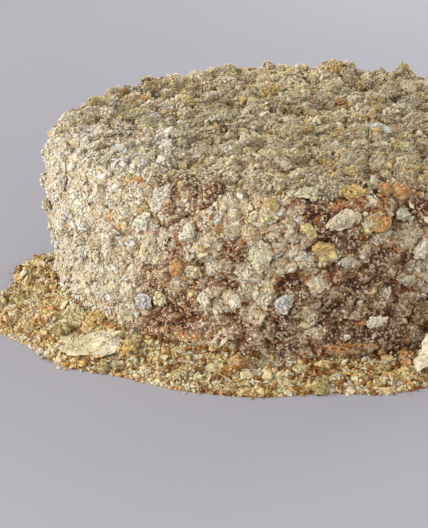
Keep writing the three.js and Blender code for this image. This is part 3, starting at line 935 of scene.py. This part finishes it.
# --- The bank of loose crumbs ---


def bank_reach(angle):
    degrees = np.degrees(angle) % 360
    after = np.clip(np.searchsorted(REACH_ANGLES, degrees, side="right"), 1, len(REACHES) - 1)
    t = smoothstep(degrees, REACH_ANGLES[after - 1], REACH_ANGLES[after])
    ragged = 1.6 * np.sin(7 * angle + 1) + 1.4 * np.sin(13 * angle) + np.sin(19 * angle + 2)
    return REACHES[after - 1] * (1 - t) + REACHES[after] * t + ragged


def bank_start(angle, height):
    return wall_radius(height) + out_of_round(angle) + CLEARANCE


def bank_height(angle, across):
    across = np.clip(across, 0, 1)
    drift = DRIFT_RISE * np.clip(np.cos(angle - math.radians(DRIFT_ANGLE)), 0, 1) ** 3
    return BANK_DEPTH * np.sqrt(1 - across**4) + (BANK_RISE + drift) * (1 - across) ** 2


def on_bank(degrees, radius):
    """A point of the bank's smooth surface, and an upward normal."""
    angle = math.radians(degrees)
    inner = bank_start(angle, BANK_DEPTH)
    height = bank_height(angle, (radius - inner) / (bank_reach(angle) - inner))
    return polar(angle, radius, height), polar(angle, 0.3, 0.954)


def build_bank_core():
    """A ring whose section runs from the outer foot over the heap to the wall and back under."""
    columns, rows = 560, 20
    across = np.concatenate([[1], np.linspace(1, 0, rows), [0]])
    angle = np.arange(columns)[:, None] / columns * 2 * math.pi
    top = np.ones_like(across)
    top[0] = top[-1] = 0
    height = bank_height(angle, across) * top
    inner, outer = bank_start(angle, height), bank_reach(angle)
    radius = inner + (outer - inner) * across
    level = polar(angle, radius, 0.0)
    bumps = clump_heights(nearest_clump(level, 7), 0.2, 3.0, 2.6) - 1.3
    bumps = bumps + lump_noise(level - [0, 0, 2], 4.5) + 0.5 * lump_noise(level, 2.2)
    bumps = bumps * np.minimum(1, across / 0.2) * np.minimum(1, (1 - across) / 0.15)
    level[..., 2] = np.where(top > 0, np.maximum(0.5, height + bumps - 0.5), 0)
    points = level.reshape(-1, 3)
    index = np.arange(len(points)).reshape(columns, len(across))
    faces = np.roll(grid_quads(np.pad(index, ((0, 1), (0, 1)), "wrap")), -1, 1)
    tone = 0.85 + 0.3 * lump_noise(points, 5)[:, None]
    # Random tone, darkened by painted shade in the cracks and hollows between clumps.
    tints = np.array([0.64, 0.50, 0.22]) * tone * crack_browning_and_painted_shade(clumps_at(points), points)
    core = add_mesh("bank_core", points, faces, tints, smooth=True)
    dress(core, crumb_material("bank_core_crumbs"), "loose_crumbs", "crumb_bank")
    upper = faces.reshape(columns, len(across), 4)[:, :rows].reshape(-1, 4)
    return plain_ground(points, halved(upper), BANK_MIX)


def ring_of_crumbs(count, radius, height, mix):
    """Crumbs' places, normals, colours and scale round the cake, from radius and height by angle."""
    angle = rng.uniform(0, 2 * math.pi, count)
    radius, height = radius(angle), height(angle)
    places = polar(angle, radius, height)
    colours = drawn_colours(np.repeat([mix], count, 0), clumps_at(places), places, 0.3)
    return places, polar(angle, 0.5, 0.866), colours, np.ones(count)


def build_bank():
    """Crumbs from dust to flakes and lumps, and those in the seam at the wall and outside the heap."""
    ground = build_bank_core()
    crumb_piece(
        "bank_dust", "loose_crumbs", ground.strewn(18000, own=0.1), template=SPLINTER,
        size=(1.0, 1.9), flat=(0.5, 0.9), lift=(0.0, 0.4), tip=0.5, rough=0.3,
    )
    crumb_piece(
        "bank_grains", "loose_crumbs", ground.strewn(9500, own=0.12),
        size=(1.1, 3.0), flat=(0.3, 0.6), lift=(0.0, 0.6), tip=0.5,
    )
    crumb_piece(
        "bank_crumbs", "loose_crumbs", ground.strewn(1000, own=0.2), template=CHUNK,
        size=(2.2, 4.4), flat=(0.2, 0.6), lift=(0.0, 0.8), tip=0.6,
    )
    crumb_piece(
        "bank_flakes", "loose_crumbs", ground.strewn(600, own=0.25), template=PLATE,
        size=(2.5, 5.5), flat=(0.1, 0.24), lift=(0.1, 1.0), tip=0.4, rough=0.2, jagged=0.4, curl=0.6,
    )
    grounds = [on_bank(degrees, radius) for degrees, radius, *_ in BANK_LUMPS]
    build_lumps("bank_lumps", "loose_crumbs", grounds, BANK_LUMPS)
    seam = ring_of_crumbs(
        1700,
        lambda angle: bank_start(angle, 4) + rng.uniform(-1.2, 2.5, len(angle)),
        lambda angle: bank_height(angle, 0) + rng.uniform(-1.5, 1, len(angle)) * 1.5,
        0.75 * BANK_MIX + 0.25 * BROWN_MIX,
    )
    # Few of them lie before the bare edge at the front of the foot.
    degrees = np.degrees(np.arctan2(seam[0][:, 1], seam[0][:, 0])) % 360
    kept = (np.abs(degrees - 271) >= 15) | (rng.random(len(degrees)) < 0.25)
    crumb_piece(
        "seam_crumbs", "loose_crumbs", [array[kept] for array in seam],
        size=(1.2, 3.6), flat=(0.3, 0.8), lift=(0.0, 0.5), tip=1.2,
    )
    strays = ring_of_crumbs(
        900,
        lambda angle: bank_reach(angle) - 1.5 + 2.2 * np.abs(rng.standard_normal(len(angle))),
        lambda angle: 0.5 + 0 * angle,
        BANK_MIX,
    )
    crumb_piece(
        "stray_crumbs", "loose_crumbs", strays,
        size=(0.8, 2.8), flat=(0.3, 0.8), lift=(-0.2, 0.0), tip=0.5,
    )


# --- The two large shards ---


def build_shard(name, start, end, widths, lean, colour):
    """A thin wavy sheet of layered pastry with a ragged outline, thinner at its edge."""
    along_cells, across_cells = 64, 44
    start, end = np.array((start, end))
    middle, length = (start + end) / 2, np.linalg.norm(end - start)
    along = (end - start) / length
    level = np.cross([0, 0, 1], along)
    level /= np.linalg.norm(level)
    lean = math.radians(lean)
    across = level * math.cos(lean) + np.cross(along, level) * math.sin(lean)
    normal = np.cross(along, across)
    u, v = np.meshgrid(
        np.linspace(-0.5, 0.5, along_cells), np.linspace(-0.5, 0.5, across_cells), indexing="ij"
    )
    ragged = 1 + 0.1 * np.sin(9 * v + 2) + 0.08 * np.sin(17 * v) + 0.03 * np.sin(41 * v + 1)
    rounded = 1 - 0.3 * np.abs(2 * u) ** 3 + 0.07 * np.sin(13 * u) + 0.03 * np.sin(37 * u)
    width = (widths[0] + (widths[1] - widths[0]) * (u + 0.5)) * rounded
    wave = 0.5 * np.sin(7 * u) * np.cos(4 * v) + 0.35 * np.sin(9 * v + 5 * u)
    across_part, along_part = (v * width)[..., None], (u * length * ragged)[..., None]
    middle = middle + along * along_part + across * across_part + normal * wave[..., None]
    edge = np.minimum(1 - np.abs(2 * u), 1 - np.abs(2 * v))
    thick = SHARD_THICKNESS / 2 * (0.45 + 0.55 * smoothstep(edge, 0, 0.25))
    torn = np.round(1.5 + 1.5 * lump_noise(middle * [1, 1, 2] + 5, 6) + 0.5 * lump_noise(middle, 2))
    blister = 0.2 * torn - 0.4 + 0.2 * lump_noise(middle, 2.6) + 0.2 * lump_noise(middle, 1.1)
    upper = middle + normal * (thick + blister * smoothstep(edge, 0, 0.1))[..., None]
    lower = middle - normal * thick[..., None]
    count = along_cells * across_cells
    index = np.arange(count).reshape(along_cells, across_cells)
    quads = grid_quads(index)
    loop = np.concatenate([index[:-1, 0], index[-1, :-1], index[:0:-1, -1], index[0, :0:-1]])
    after = np.roll(loop, -1)
    rim = np.stack([loop, loop + count, after + count, after], -1)
    faces = np.concatenate([quads, quads[:, ::-1] + count, rim])
    points = np.concatenate([upper.reshape(-1, 3), lower.reshape(-1, 3)])
    tone = np.clip(0.6 + 0.5 * lump_noise(points, 6) + 0.3 * lump_noise(points, 2), 0, 1)[:, None]
    tone = tone * (0.35 + 0.65 * np.tile(smoothstep(u.ravel(), -0.4, 0.5), 2)[:, None])
    tints = 0.9 * (np.array(PALETTE["ivory"]) * tone + np.array(PALETTE[colour]) * (1 - tone))
    piece = add_mesh(name + "_pastry", points, faces, tints, smooth=True)
    dress(piece, crumb_material(name + "_baked", toast=0.15, blister=450), "pastry_shard", name)
    crumb_piece(
        name + "_crumbs", "pastry_shard", strewn_over(points, halved(quads), tints, 160),
        size=(0.8, 2.4), lift=(0.0, 0.4), tip=0.8,
    )


# --- Floor, light and camera ---


def build_floor():
    side = 6000
    corners = side * np.array([[-1, -1, 0], [1, -1, 0], [1, 1, 0], [-1, 1, 0]])
    floor = add_mesh("floor", corners, np.array([[0, 1, 2, 3]]))
    paint = Paint("floor_paper")
    cloud = paint.texture("Noise", Scale=2.5, Detail=2)
    paper = paint.ramp(cloud.outputs[0], (0.3, (0.32, 0.315, 0.347)), (0.7, (0.343, 0.339, 0.372)))
    paint.link(paper, paint.shader.inputs["Base Color"])
    paint.shader.inputs["Roughness"].default_value = 0.9
    floor.data.materials.append(paint.material)


def add_light(name, place, target, size, watts, colour):
    data = bpy.data.lights.new(name, "AREA")
    data.shape = "RECTANGLE"
    data.size, data.size_y = size
    data.energy = watts
    data.color = colour
    light = bpy.data.objects.new(name, data)
    light.location = place
    light.rotation_euler = (Vector(target) - Vector(place)).to_track_quat("-Z", "Y").to_euler()
    bpy.context.scene.collection.objects.link(light)


def build_light():
    add_light("key", (-1.47, -0.67, 0.68), (0, 0, 0.03), (2.4, 1.05), 50, (1.0, 0.99, 0.975))
    add_light("back", (0.5, 0.95, 0.55), (0.12, 0.45, 0), (0.6, 0.6), 6.0, (0.98, 0.99, 1.0))
    add_light("fill", (0.9, -1.6, 0.5), (0, 0, 0.03), (1.4, 1.0), 16, (1.0, 0.99, 0.98))
    world = bpy.data.worlds.new("studio")
    world.use_nodes = True
    background = world.node_tree.nodes["Background"]
    background.inputs[0].default_value = (0.90, 0.87, 0.88, 1)
    background.inputs[1].default_value = 0.66
    bpy.context.scene.world = world


def build_camera():
    """The photo's view: a long lens a little above the cake, aimed left of its axis."""
    distance, elevation, focal_pixels, frame_height = 0.95, math.radians(19.2), 2144, 528
    target = Vector((-0.0368, 0, 0.008))
    data = bpy.data.cameras.new("camera")
    data.sensor_fit = "VERTICAL"
    data.sensor_height = 36
    data.lens = focal_pixels / frame_height * data.sensor_height
    data.clip_start, data.clip_end = 0.05, 20
    camera = bpy.data.objects.new("camera", data)
    camera.location = target + distance * Vector((0, -math.cos(elevation), math.sin(elevation)))
    camera.rotation_euler = (math.pi / 2 - elevation, 0, 0)
    bpy.context.scene.collection.objects.link(camera)
    bpy.context.scene.camera = camera


build_camera()
build_coat(build_body())
build_large_flakes()
build_layer_edges()
build_bank()
for shard_name, shard in SHARDS.items():
    build_shard(shard_name, *shard)
build_floor()
build_light()
bpy.context.scene.view_settings.view_transform = "Standard"
